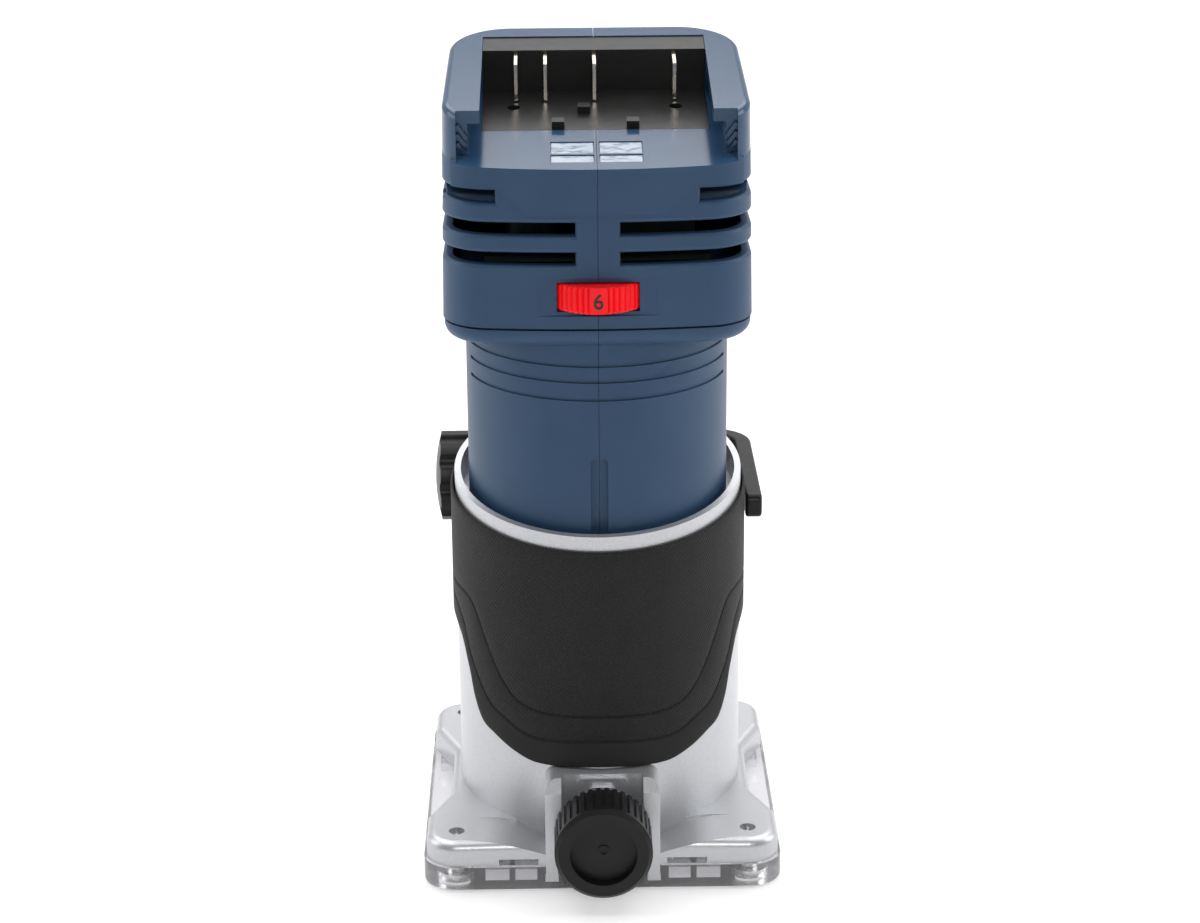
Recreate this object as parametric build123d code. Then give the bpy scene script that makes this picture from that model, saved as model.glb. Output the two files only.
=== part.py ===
from build123d import *
import os
from math import acos, cos, pi, radians, sin, tan

# Cordless trim router. Millimetres, +Z up, -Y the front, +X to the user's right.
# Origin: on the spindle axis, on the underside of the sub-base.

# ---- driving dimensions: base -------------------------------------------------------
plate_size = 90.0            # square sub-base
plate_corner = 8.0
plate_thick = 6.4
bit_opening_r = 16.0
screw_inset = 8.3            # sub-base screws, from the plate's edge
screw_r = 2.0
screw_end_drop = 1.5
foot_inset = 0.7             # casting's foot inside the plate's edge
foot_corner = 7.5
foot_top = 12.6              # top of the corner lobes
foot_front_top = 9.4         # foot surface beside the guide bracket
foot_cut_depth = 5.5         # concave cut-outs between the lobes
foot_cut_mouth = 26.0
foot_cut_floor = 13.0
foot_notch = (16.0, 26.0)     # notches in the front edge, which hold tabs of the sub-base
foot_notch_depth = 5.0
foot_notch_height = 1.8
foot_dip = 34.0              # half-width of the dip beside the bracket
foot_floor_top = 9.6         # floor of the casting inside the sleeve
foot_floor_hole_r = 21.0
sleeve_wall = 3.55
mouth_gap = 2.05             # between the barrel and the mouth of the sleeve
mouth_depth = 7.0
rim_height = 97.3            # rim plane on the axis
rim_tilt = 10.0              # the rim rises towards the back
grip_thick = 1.1
grip_below_rim = 3.5
grip_side_bottom = 60.0
grip_end_angle = 125.0       # the sleeve is open at the back
window_half_width = 17.0     # chip window at the back
window_bottom = 13.0
window_top = 38.0
split_gap = 2.5

# ---- driving dimensions: guide bracket and its knob ----------------------------------
bracket_half_width = 14.3
bracket_inner = 10.2
channel_margin = 3.6         # least metal in front of the sleeve
channel_depth = 5.0
bracket_top = 29.3
key_plate_half = 6.4
key_plate_top = 28.7
key_boss_half = 3.3
key_boss_top = 27.0
guide_knob_r = 12.07
guide_knob_depth = 13.0
guide_knob_above_plate = 10.0
guide_flutes = 36
guide_washer_r = 11.2
guide_washer_thick = 1.0
guide_stud_r = 3.0

# ---- driving dimensions: clamp and depth drive ---------------------------------------
bolt_behind_pinion = 13.5     # clamp bolt, behind the pinion shaft
bolt_z = 85.0
bolt_r = 2.2
ear_half_width = 9.3
ear_r = 6.5
lever_side_gap = 0.3          # between the long arm and the grip
lever_tip_y = -2.0
lever_width = 4.2
lever_top = 89.0
lever_height = 6.4
lever_end_r = 2.0
lever_hub_r = 6.0
lever_cam = 0.5              # eccentricity of the hub
lever_pin_r = 2.0
rack_line_in = 0.75          # rack's pitch line, inside the barrel's surface
pinion_z = 81.6
gear_module = 1.0
pinion_teeth = 12
gear_backlash = 0.16
gear_width = 7.0
rack_centre_x = -8.5
rack_teeth = 16
depth_shaft_r = 3.0
depth_knob_r = 12.1
depth_knob_depth = 10.2
boss_length = 15.0           # pinion boss, outside its pocket
boss_knob_gap = 3.0
depth_knob_dome = 1.7
depth_knob_scallops = 10

# ---- driving dimensions: motor unit --------------------------------------------------
motor_r = 32.75
barrel_wall = 2.4
barrel_bottom = 48.0
key_slot_width = 4.2
key_slot_top = 109.5
key_slot_depth = 1.5
arc_groove_below_cup = (5.7, 9.7, 14.2)
arc_groove_span = 73.0
stator_gap = 3.35            # round the stator, for air and screws
stator_above_bell = 22.0
stator_length = 30.0
rotor_r = 15.4
air_gap = 0.6
lower_bearing_r = 14.0
lower_bearing_width = 8.0
upper_bearing_r = 11.0
upper_bearing_width = 7.0
spindle_r = 6.0
spindle_top_r = 4.0
nose_r = 7.5
nose_length = 21.0
collet_bore_r = 3.0
collet_nut_across = 19.0
bell_screw_in = 3.15         # screw circle, inside the barrel's bore
fan_screw_gap = 0.7          # between the fan and the screw bosses

# ---- driving dimensions: head --------------------------------------------------------
parting_z = 143.6
cup_height = 4.6
parting_gap = 0.6
head_side_margin = 4.55      # head beyond the barrel, each side
head_front_margin = 4.45
head_back_margin = 3.25       # at the parting line
head_wall = 2.4
head_corner_front = 12.5
head_corner_back = 15.0
head_crown_r = 186.0
head_top_margin = 0.375      # the head's form runs this far above the rails at the back
bib_proud = 0.9
shelf_above_parting = 39.1   # front edge of the battery floor
foot_tilt = 10.0             # the battery floor and the back lean forward
foot_rim_r = 1.6
rail_height = 10.85
rail_thick = 3.3
rail_side_wall = 4.3
rail_overhang = 5.6
channel_rib_depth = 2.6      # the slots are narrower behind their ribbed mouths
rail_start = 10.2            # along the slide, from the front edge
floor_thick = 3.0
terminal_start = 24.2        # along the slide
terminal_back_wall = 14.2    # shorter than the head's depth by this much
terminal_thick = 8.0
vent_first = 15.8            # lowest slot above the parting line
vent_height = 3.0
vent_pitch = 7.2
vent_corner_above = 0.6      # the short top slots sit this much above the pitch
vent_inner_x = 5.3
vent_corner_x = 24.0
vent_end_y = -8.0
vent_lip_r = 0.9
dial_r = 11.8
dial_proud = 4.0
dial_window_half = 9.7
dial_figure_step = 64.0
dial_above_parting = 4.8
dial_thick = 6.5
dial_flutes = 32
switch_above_parting = 24.4
switch_travel = 6.0

# ---- clearances ----------------------------------------------------------------------
slide_gap = 0.10             # barrel in its sleeve, radial
running_gap = 0.03           # shafts in bores, radial
seat_gap = 0.02              # pieces that sit against each other
seam_gap = 0.10              # between the two halves of a shell

# ---- derived sizes -------------------------------------------------------------------
foot_size = plate_size - 2 * foot_inset
screw_spacing = plate_size - 2 * screw_inset
guide_knob_z = plate_thick + guide_knob_above_plate
sleeve_bore_r = motor_r + slide_gap
sleeve_r = sleeve_bore_r + sleeve_wall
mouth_r = motor_r + mouth_gap
grip_r = sleeve_r + grip_thick
barrel_inner_r = motor_r - barrel_wall
bracket_front = -max(plate_size / 2, sleeve_r + channel_margin + channel_depth)
channel_floor = bracket_front + channel_depth
cup_bottom = parting_z - cup_height
arc_groove_heights = [cup_bottom - drop for drop in arc_groove_below_cup]
bell_top = barrel_bottom + 12.0
lower_bearing_low = bell_top - lower_bearing_width - 1.2
bearing_plate_low = cup_bottom - 13.0
nose_low = barrel_bottom - nose_length
stator_bottom = bell_top + stator_above_bell
stator_top = stator_bottom + stator_length
stator_r = barrel_inner_r - stator_gap
stator_ring = 4.5
bell_screw_circle_r = barrel_inner_r - bell_screw_in
fan_r = bell_screw_circle_r - 3.0 - fan_screw_gap
head_half_width = motor_r + head_side_margin
head_front = -motor_r - head_front_margin
head_back = motor_r + head_back_margin
head_slope = tan(radians(foot_tilt))
rail_rise = rail_height / cos(radians(foot_tilt))
head_rise = shelf_above_parting + rail_rise + (head_back - head_front) * head_slope + head_top_margin
loft_top = parting_z + head_rise
channel_outer = head_half_width - rail_side_wall
rail_inner = channel_outer - rail_overhang
channel_side = channel_outer - channel_rib_depth
terminal_back = head_back - head_front - terminal_back_wall
terminal_wall = terminal_back - terminal_thick
shelf_front_z = parting_z + shelf_above_parting
vent_heights = [
    (parting_z + vent_first + k * vent_pitch, parting_z + vent_first + k * vent_pitch + vent_height)
    for k in (0, 1)
]
vent_corner_low = vent_heights[1][0] + vent_pitch + vent_corner_above
vent_corner_heights = (vent_corner_low, vent_corner_low + vent_height)
dial_y = head_front + dial_r - dial_proud
dial_bottom = parting_z + dial_above_parting
dial_top = dial_bottom + dial_thick
board_low = dial_top + 3.3
switch_z = parting_z + switch_above_parting
pitch_r = gear_module * pinion_teeth / 2
tooth_pitch = pi * gear_module
pinion_addendum = 0.8 * gear_module
rack_addendum = 0.7 * gear_module
gear_dedendum = 1.1 * gear_module
pinion_pocket_r = pitch_r + pinion_addendum + 0.8
rack_line_y = motor_r - rack_line_in
pinion_y = rack_line_y + pitch_r
bolt_y = pinion_y + bolt_behind_pinion
rack_back_y = rack_line_y - gear_dedendum - 1.6
rack_side = gear_width / 2
pocket_x = (rack_centre_x - rack_side - 1, rack_centre_x + rack_side + 0.6)
boss_outer_x = pocket_x[0] - boss_length
depth_knob_inner_x = boss_outer_x - boss_knob_gap
depth_knob_outer_x = depth_knob_inner_x - depth_knob_depth
lever_side_x = grip_r + lever_side_gap + lever_width / 2
pivot_x = ear_half_width + 1.2 + 0.05 + lever_hub_r + lever_cam
knob_back_y = bracket_front - guide_washer_thick - seat_gap
knob_front_y = knob_back_y - guide_knob_depth


def upright(radius, low, high, x=0.0, y=0.0):
    """A vertical cylinder between two heights."""
    return Pos(x, y, (low + high) / 2) * Cylinder(radius, high - low)


def along_x(radius, low, high, y, z):
    """A cylinder along X between two x values."""
    return Pos((low + high) / 2, y, z) * Rot(0, 90, 0) * Cylinder(radius, high - low)


def along_y(radius, low, high, x, z):
    """A cylinder along Y between two y values."""
    return Pos(x, (low + high) / 2, z) * Rot(90, 0, 0) * Cylinder(radius, high - low)


def block(x, y, z):
    """A box from three (low, high) pairs."""
    size = [pair[1] - pair[0] for pair in (x, y, z)]
    centre = [(pair[1] + pair[0]) / 2 for pair in (x, y, z)]
    return Pos(*centre) * Box(*size)


def ring(outer, inner, low, high):
    """An upright tube."""
    return upright(outer, low, high) - upright(inner, low - 1, high + 1)


def below_tilt(height, reach=80.0):
    """Everything below the plane that crosses the axis at a height and rises to the back."""
    slab = Pos(0, 0, -60) * Box(2 * reach, 2 * reach, 120)
    return Pos(0, 0, height) * Rot(rim_tilt, 0, 0) * slab


def front_prism(points, low_y, high_y):
    """A prism along Y whose outline is drawn in the front view as (x, z) points."""
    outline = Plane.XZ * make_face(Polyline(*points, close=True))
    return Pos(0, high_y, 0) * extrude(outline, high_y - low_y)


def both_sides(build):
    """The union of a feature and its mirror image across the seam."""
    return build + mirror(build, Plane.YZ)


def corners(half):
    """The four corner positions of a square pattern."""
    return [(sx * half, sy * half) for sx in (-1, 1) for sy in (-1, 1)]


# ---- base ------------------------------------------------------------------------------

def make_sub_base():
    """Clear moulded plate with countersunk holes, lightening pockets and the bit opening."""
    plate = extrude(RectangleRounded(plate_size, plate_size, plate_corner), plate_thick)
    plate = fillet(plate.faces().sort_by(Axis.Z)[0].edges(), 0.8)
    plate -= upright(bit_opening_r, -1, plate_thick + 1)
    half = plate_size / 2
    pocket_floor = 2.0
    for x, y in corners(screw_spacing / 2):
        plate -= upright(screw_r + 0.15, -1, plate_thick + 1, x, y)
        plate -= upright(2 * screw_r + 0.15, -1, 2.6, x, y)
    for turn in (0, 90, 180, 270):
        for side in (-1, 1):
            for near, far in ((16.5, 22.0), (23.5, 29.5)):
                pocket = block(
                    sorted((side * near, side * far)),
                    (-half + 2.2, -half + 8.0),
                    (pocket_floor, plate_thick + 1),
                )
                plate -= Rot(0, 0, turn) * pocket
    leg = seat_gap + 0.15
    for side in (-1, 1):
        tab = block(
            sorted((side * (foot_notch[0] + 0.2), side * (foot_notch[1] - 0.2))),
            (-foot_size / 2 + 0.4, -foot_size / 2 + foot_notch_depth - 0.2),
            (plate_thick - 0.5, plate_thick + foot_notch_height - 0.2),
        )
        plate += fillet(tab.edges().filter_by(Axis.X).sort_by(Axis.Z)[-2:], 0.5)
        plate -= block(
            sorted((side * (bracket_half_width - 3 - leg), side * (bracket_half_width + leg))),
            (bracket_front - 1, bracket_front + 4 + leg),
            (plate_thick - 4 - leg, plate_thick + 1),
        )
    return plate


def make_sub_base_screws():
    """Four countersunk machine screws; their ends show at the lobes."""
    screws = []
    for x, y in corners(screw_spacing / 2):
        head = upright(2 * screw_r, 0.5, 2.6 - seat_gap, x, y)
        shank = upright(screw_r - running_gap, 2.0, foot_top - screw_end_drop, x, y)
        slot = block((x - 2, x + 2), (y - 0.4, y + 0.4), (0, 1.4))
        screws.append(head + shank - slot)
    return Compound(children=screws)


def foot_outline():
    """Plan of the foot: a square with concave cut-outs at the back and both sides."""
    half = foot_size / 2
    deep = half - foot_cut_depth
    side = [(half, -foot_cut_mouth), (deep, -foot_cut_floor), (deep, foot_cut_floor),
            (half, foot_cut_mouth)]
    back = [(y * -1, x) for x, y in side]
    left = [(-x, -y) for x, y in side]
    points = [(half, -half)] + side + [(half, half)] + back + [(-half, half)] + left + [(-half, -half)]
    plan = make_face(Polyline(*points, close=True))
    outer = [v for v in plan.vertices() if abs(abs(v.X) - half) < 0.1 and abs(abs(v.Y) - half) < 0.1]
    plan = fillet(outer, foot_corner)
    inner = [v for v in plan.vertices() if abs(v.X) < half - 1 and abs(v.Y) < half - 1]
    inner = [v for v in inner if max(abs(v.X), abs(v.Y)) < deep + 0.1]
    return fillet(inner, 3.0)


def make_foot():
    """Foot of the casting, with soft top edges and a dip beside the bracket."""
    foot = Pos(0, 0, plate_thick) * extrude(foot_outline(), foot_top - plate_thick)
    foot = fillet(foot.faces().sort_by(Axis.Z)[-1].edges(), 2.4)
    dip = Spline((bracket_half_width, foot_front_top), (foot_dip, foot_top),
                 tangents=((1, 0.35), (1, 0)))
    right = dip + Polyline((foot_dip, foot_top), (foot_dip, 40), (0, 40), (0, foot_front_top),
                           (bracket_half_width, foot_front_top))
    scoop = extrude(Plane.XZ * make_face(right), 20)
    foot -= both_sides(Pos(0, -foot_size / 2 + 15, 0) * scoop)
    for side in (-1, 1):
        foot -= block(
            sorted((side * foot_notch[0], side * foot_notch[1])),
            (-foot_size / 2 - 5, -foot_size / 2 + foot_notch_depth), (0, plate_thick + foot_notch_height),
        )
    return foot


def make_bracket():
    """Two ribs with a channel between them, a stepped key plate and the stud boss."""
    width = bracket_half_width
    body = block((-width, width), (bracket_front, -sleeve_bore_r + 4), (plate_thick, bracket_top))
    top_front = body.edges().filter_by(Axis.X).sort_by(Axis.Z)[-2:].sort_by(Axis.Y)[0]
    body = chamfer(top_front, 3.0)
    uprights = body.edges().filter_by(Axis.Y).sort_by(Axis.Z)[-2:]
    body = fillet(uprights, 3.2)
    body -= block(
        (-bracket_inner, bracket_inner), (-60, channel_floor), (foot_front_top, bracket_top + 1)
    )
    plate = block(
        (-key_plate_half, key_plate_half), (channel_floor - 1.6, channel_floor + 2),
        (foot_front_top, key_plate_top),
    )
    plate = fillet(plate.edges().filter_by(Axis.Y).sort_by(Axis.Z)[-2:], 1.2)
    boss = block(
        (-key_boss_half, key_boss_half), (channel_floor - 3.0, channel_floor + 2),
        (foot_front_top, key_boss_top),
    )
    boss = fillet(boss.edges().filter_by(Axis.Y).sort_by(Axis.Z)[-2:], 1.2)
    stud_boss = along_y(5.4, channel_floor - 3.0, channel_floor + 2, 0, guide_knob_z)
    body += plate + boss + stud_boss
    for side in (-1, 1):
        body += block(
            sorted((side * (width - 3), side * width)),
            (bracket_front, bracket_front + 4), (plate_thick - 4, plate_thick + 1),
        )
    return body


def make_clamp_ears():
    """Ears at the split, and the boss that carries the depth pinion."""
    ears = along_x(ear_r, -ear_half_width, ear_half_width, bolt_y, bolt_z)
    ears += block(
        (-ear_half_width, ear_half_width), (sleeve_bore_r - 4, bolt_y), (bolt_z - ear_r, bolt_z + ear_r)
    )
    boss_r = pinion_pocket_r + 1.5
    ears += along_x(boss_r, boss_outer_x, -split_gap / 2, pinion_y, pinion_z)
    ears += block(
        (boss_outer_x, -split_gap / 2), (sleeve_r / 2, pinion_y), (pinion_z - boss_r, pinion_z + boss_r)
    )
    return ears


def make_base_casting():
    """Foot, motor sleeve with a tilted rim, guide bracket and the split clamp."""
    body = make_foot() + upright(sleeve_r, plate_thick, rim_height + 12)
    body += make_bracket() + make_clamp_ears()
    body = body & below_tilt(rim_height)
    body -= upright(sleeve_bore_r, foot_floor_top, rim_height + 20)
    body -= upright(foot_floor_hole_r, 0, foot_floor_top + 1)
    body -= upright(mouth_r, 40, rim_height + 20) - below_tilt(rim_height - mouth_depth)
    key = key_slot_width - 0.4
    body += block(
        (-key / 2, key / 2),
        (-sleeve_bore_r - 1, -motor_r + key_slot_depth - 0.3), (foot_floor_top, rim_height - 16),
    )
    # rear: chip window, split, rack channel
    body -= block((-window_half_width, window_half_width), (20, 60), (window_bottom, window_top))
    body -= block((-split_gap / 2, split_gap / 2), (20, 70), (window_top - 1, rim_height + 20))
    rack_room = 0.6
    body -= block(
        (rack_centre_x - rack_side - rack_room, rack_centre_x + rack_side + rack_room),
        (20, rack_line_y + rack_addendum + rack_room), (window_top - 1, rim_height + 20),
    )
    # bores for the pinion, its bush, its inner journal and the clamp bolt
    body -= along_x(pinion_pocket_r, *pocket_x, pinion_y, pinion_z)
    body -= along_x(depth_shaft_r + 2 + seat_gap, -60, pocket_x[0] + 1, pinion_y, pinion_z)
    body -= along_x(depth_shaft_r - 0.5 + running_gap, pocket_x[1] - 1, -2.2, pinion_y, pinion_z)
    body -= along_x(bolt_r + 0.1, -20, 20, bolt_y, bolt_z)
    body -= along_x(4.9, -40, -ear_half_width, bolt_y, bolt_z)
    # stud thread and the four sub-base threads
    body -= along_y(guide_stud_r + running_gap, -60, -sleeve_bore_r - 2.2, 0, guide_knob_z)
    for x, y in corners(screw_spacing / 2):
        body -= upright(screw_r, 0, foot_top + 1, x, y)
    return body


def grip_lower_curve():
    """Lower edge of the grip in the front view, from the centre to the side."""
    return [(0, 29.8), (16.3, 29.6), (22.0, 31.4), (27.3, 34.5), (30.0, 36.5),
            (31.9, 41.7), (33.1, 48.2), (35.2, 56.3), (grip_r + 1, grip_side_bottom)]


def make_grip_sleeve():
    """Rubber sleeve bonded round the casting, open at the back."""
    right = grip_lower_curve()
    left = [(-x, z) for x, z in reversed(right)]
    reach = grip_r + 5
    outline = left[:-1] + right + [(reach, grip_side_bottom), (reach, 120), (-reach, 120),
                                   (-reach, grip_side_bottom)]
    shape = front_prism(outline, -reach, 0)
    shape += block((-reach, reach), (-0.01, reach), (grip_side_bottom, 120))
    sleeve = ring(grip_r, sleeve_r + seat_gap, 20, 115) & shape
    sleeve = sleeve & below_tilt(rim_height - grip_below_rim)
    end_x = grip_r * sin(radians(grip_end_angle))
    end_y = -grip_r * cos(radians(grip_end_angle))
    far = 4.0
    wedge = make_face(Polyline((0, 0), (end_x * far, end_y * far), (-end_x * far, end_y * far), close=True))
    sleeve -= extrude(wedge, 130)
    notch = front_prism([(-0.75, 83.4), (0.75, 83.4), (0.75, 86.6), (-0.75, 86.6)], -reach, -30)
    return sleeve - (notch - upright(grip_r - 0.5, 0, 130))


def make_guide_knob():
    """Fluted thumb knob with a dished face."""
    knob = along_y(guide_knob_r, knob_front_y, knob_back_y, 0, guide_knob_z)
    knob = chamfer(knob.edges().sort_by(Axis.Y)[0], 1.0)
    knob -= along_y(guide_knob_r - 3.8, knob_front_y - 1, knob_front_y + 2.6, 0, guide_knob_z)
    knob += along_y(1.5, knob_front_y + 2.3, knob_front_y + 2.9, 0, guide_knob_z)
    knob -= along_y(0.8, knob_front_y + 2.0, knob_front_y + 2.6, 0, guide_knob_z)
    flutes = [
        along_y(0.55, knob_front_y + 2.2, knob_back_y + 1,
                guide_knob_r * cos(2 * pi * k / guide_flutes),
                guide_knob_z + guide_knob_r * sin(2 * pi * k / guide_flutes))
        for k in range(guide_flutes)
    ]
    knob -= flutes
    return knob - along_y(guide_stud_r + seat_gap, knob_back_y - 8, knob_back_y + 1, 0, guide_knob_z)


def make_guide_stud():
    """Threaded stud moulded into the guide knob."""
    return along_y(guide_stud_r, knob_back_y - 8 + seat_gap, -sleeve_bore_r - 3.0, 0, guide_knob_z)


def make_guide_washer():
    """Washer that presses the guide's bar onto the bracket."""
    low = bracket_front - guide_washer_thick
    washer = along_y(guide_washer_r, low, bracket_front - seat_gap / 2, 0, guide_knob_z)
    return washer - along_y(guide_stud_r + 0.1, low - 1, bracket_front + 1, 0, guide_knob_z)


# ---- clamp -----------------------------------------------------------------------------

def make_clamp_bolt():
    """Bolt through both ears with an eye for the lever pin."""
    bolt = along_x(bolt_r, -ear_half_width - 5, pivot_x, bolt_y, bolt_z)
    eye_half = bolt_r - 0.2
    bolt += upright(lever_pin_r + 2.2, bolt_z - eye_half, bolt_z + eye_half, pivot_x, bolt_y)
    return bolt - upright(lever_pin_r + seat_gap, 60, 110, pivot_x, bolt_y)


def make_clamp_nut():
    """Hexagon nut against the left ear."""
    hexagon = extrude(RegularPolygon(4.3, 6), 4.0)
    nut = Pos(-ear_half_width - seat_gap, bolt_y, bolt_z) * Rot(0, -90, 0) * hexagon
    return nut - along_x(bolt_r + seat_gap, -30, 0, bolt_y, bolt_z)


def make_clamp_washer():
    """Pad between the cam hub and the right ear."""
    near = ear_half_width + seat_gap
    far = ear_half_width + 1.2
    washer = along_x(5.2, near, far, bolt_y, bolt_z)
    return washer - along_x(bolt_r + 0.1, 0, 20, bolt_y, bolt_z)


def make_lever_pin():
    """Vertical pin of the cam lever."""
    return upright(lever_pin_r, bolt_z - 4.9, bolt_z + 4.9, pivot_x, bolt_y)


def make_clamp_lever():
    """Cam lever: a hub behind the clamp and an arm that wraps the right side."""
    path = FilletPolyline(
        (pivot_x, bolt_y), (lever_side_x, bolt_y), (lever_side_x, lever_tip_y), radius=9.0
    )
    arm = Pos(0, 0, lever_top - lever_height) * extrude(trace(path, lever_width), lever_height)
    arm = fillet(arm.faces().sort_by(Axis.Y)[0].edges().filter_by(Axis.X), lever_end_r)
    arm = fillet(arm.faces().sort_by(Axis.Z)[-1].edges(), 0.8)
    hub_low = bolt_z - 4.6
    hub_high = bolt_z + 4.6
    hub = upright(lever_hub_r, hub_low, hub_high, pivot_x - lever_cam, bolt_y)
    web = block(
        (pivot_x, pivot_x + 9), (bolt_y - lever_width / 2, bolt_y + lever_width / 2),
        (hub_low, hub_high),
    )
    lever = arm + hub + web
    slot = bolt_r + 0.25
    lever -= block(
        (pivot_x - 10, pivot_x + 4.7), (bolt_y - 8, bolt_y + 8), (bolt_z - slot, bolt_z + slot)
    )
    return lever - upright(lever_pin_r + running_gap, 60, 110, pivot_x, bolt_y)


# ---- depth drive -----------------------------------------------------------------------

def involute(angle):
    """Involute function of a pressure angle in radians."""
    return tan(angle) - angle


def make_depth_pinion():
    """Spur pinion with one tooth facing the rack at rest."""
    pressure = radians(20)
    base_r = pitch_r * cos(pressure)
    tip_r = pitch_r + pinion_addendum
    root_r = pitch_r - gear_dedendum
    half_tooth = (tooth_pitch / 2 - gear_backlash) / (2 * pitch_r) + involute(pressure)
    steps = 4
    flank = [(root_r, half_tooth)]
    for k in range(steps + 1):
        r = base_r + (tip_r - base_r) * k / steps
        flank.append((r, half_tooth - involute(acos(base_r / r))))
    points = []
    for tooth in range(pinion_teeth):
        middle = 2 * pi * tooth / pinion_teeth
        outline = [(r, middle - a) for r, a in flank] + [(r, middle + a) for r, a in reversed(flank)]
        points += [(-r * cos(a), r * sin(a)) for r, a in outline]
    profile = Plane.YZ * make_face(Polyline(*points, close=True))
    gear = extrude(profile, gear_width - 0.4)
    gear = Pos(rack_centre_x - rack_side + 0.2, pinion_y, pinion_z) * gear
    return gear - along_x(depth_shaft_r - 0.5 + seat_gap, -30, 0, pinion_y, pinion_z)


def make_pinion_shaft():
    """Stepped shaft from the depth knob to the inner journal."""
    step_x = rack_centre_x - rack_side - 0.5
    shaft = along_x(depth_shaft_r, depth_knob_outer_x + 3, step_x, pinion_y, pinion_z)
    return shaft + along_x(depth_shaft_r - 0.5, step_x, -2.4, pinion_y, pinion_z)


def make_pinion_bush():
    """Plain bush pressed in the boss of the casting."""
    low = boss_outer_x - 0.6
    high = pocket_x[0] - 0.2
    bush = along_x(depth_shaft_r + 2, low, high, pinion_y, pinion_z)
    return bush - along_x(depth_shaft_r + running_gap, low - 1, high + 1, pinion_y, pinion_z)


def make_depth_knob():
    """Scalloped knob with a domed face."""
    knob = along_x(depth_knob_r, depth_knob_outer_x - depth_knob_dome, depth_knob_inner_x, 0, 0)
    dome_r = (depth_knob_r ** 2 + depth_knob_dome ** 2) / (2 * depth_knob_dome)
    knob = knob & (Pos(depth_knob_outer_x - depth_knob_dome + dome_r, 0, 0) * Sphere(dome_r))
    scallops = [
        Rot(360 * k / depth_knob_scallops, 0, 0)
        * along_x(2.6, depth_knob_outer_x - 4, depth_knob_inner_x - 2.0, depth_knob_r + 1.3, 0)
        for k in range(depth_knob_scallops)
    ]
    knob -= scallops
    knob = Pos(0, pinion_y, pinion_z) * knob
    return knob - along_x(depth_shaft_r + seat_gap, depth_knob_outer_x + 3 - seat_gap, 0, pinion_y, pinion_z)


def make_depth_rack():
    """Rack set in a pocket of the barrel; a tooth gap faces the pinion at rest."""
    pressure = radians(20)
    tip = rack_line_y + rack_addendum
    root = rack_line_y - gear_dedendum
    half_line = tooth_pitch / 4 - gear_backlash / 2
    half_tip = half_line - rack_addendum * tan(pressure)
    half_root = half_line + gear_dedendum * tan(pressure)
    low = pinion_z - tooth_pitch * rack_teeth / 2
    points = [(rack_back_y, low)]
    for k in range(rack_teeth):
        z = low + tooth_pitch * (k + 0.5)
        points += [(root, z - half_root), (tip, z - half_tip), (tip, z + half_tip), (root, z + half_root)]
    points.append((rack_back_y, low + tooth_pitch * rack_teeth))
    profile = Plane.YZ * make_face(Polyline(*points, close=True))
    return Pos(rack_centre_x - rack_side, 0, 0) * extrude(profile, gear_width)


# ---- motor unit ------------------------------------------------------------------------

def half_of(solid, side):
    """One half of a shell, split at the seam."""
    reach = 80.0
    keep = block(sorted((side * seam_gap / 2, side * reach)), (-reach, reach), (-10, 260))
    return solid & keep


def head_plan(inset=0.0, half_front=head_half_width, half_back=head_half_width, back=head_back):
    """Plan of the head: crowned front, straight sides, large back corners."""
    corner_y = head_front + half_front ** 2 / (2 * head_crown_r)
    edges = ThreePointArc((-half_front, corner_y), (0, head_front), (half_front, corner_y))
    edges += Polyline((half_front, corner_y), (half_back, back), (-half_back, back),
                      (-half_front, corner_y))
    plan = make_face(edges)
    plan = fillet([v for v in plan.vertices() if v.Y < 0], head_corner_front)
    plan = fillet([v for v in plan.vertices() if v.Y > back - 1], head_corner_back)
    return offset(plan, -inset) if inset else plan


def head_solid(inset=0.0):
    """Outer form of the head, leaning forward at the back."""
    rise = loft_top - parting_z
    top_back = head_back - rise * head_slope
    low = Pos(0, 0, parting_z) * head_plan(inset)
    high = Pos(0, 0, loft_top) * head_plan(inset, head_half_width - 0.8, head_half_width - 2.2, top_back)
    return loft([low, high], ruled=True)


def slide_frame():
    """Frame of the battery slide: X across, Y up the slope, Z away from its floor."""
    lean = radians(foot_tilt)
    return Plane(
        origin=(0, head_front - bib_proud, shelf_front_z), x_dir=(1, 0, 0),
        z_dir=(0, -sin(lean), cos(lean)),
    )


def on_slide(x, u, n):
    """A box in the slide's frame: u runs up the slope, n leaves the floor."""
    size = [pair[1] - pair[0] for pair in (x, u, n)]
    centre = [(pair[1] + pair[0]) / 2 for pair in (x, u, n)]
    return slide_frame() * Pos(*centre) * Box(*size)


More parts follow.
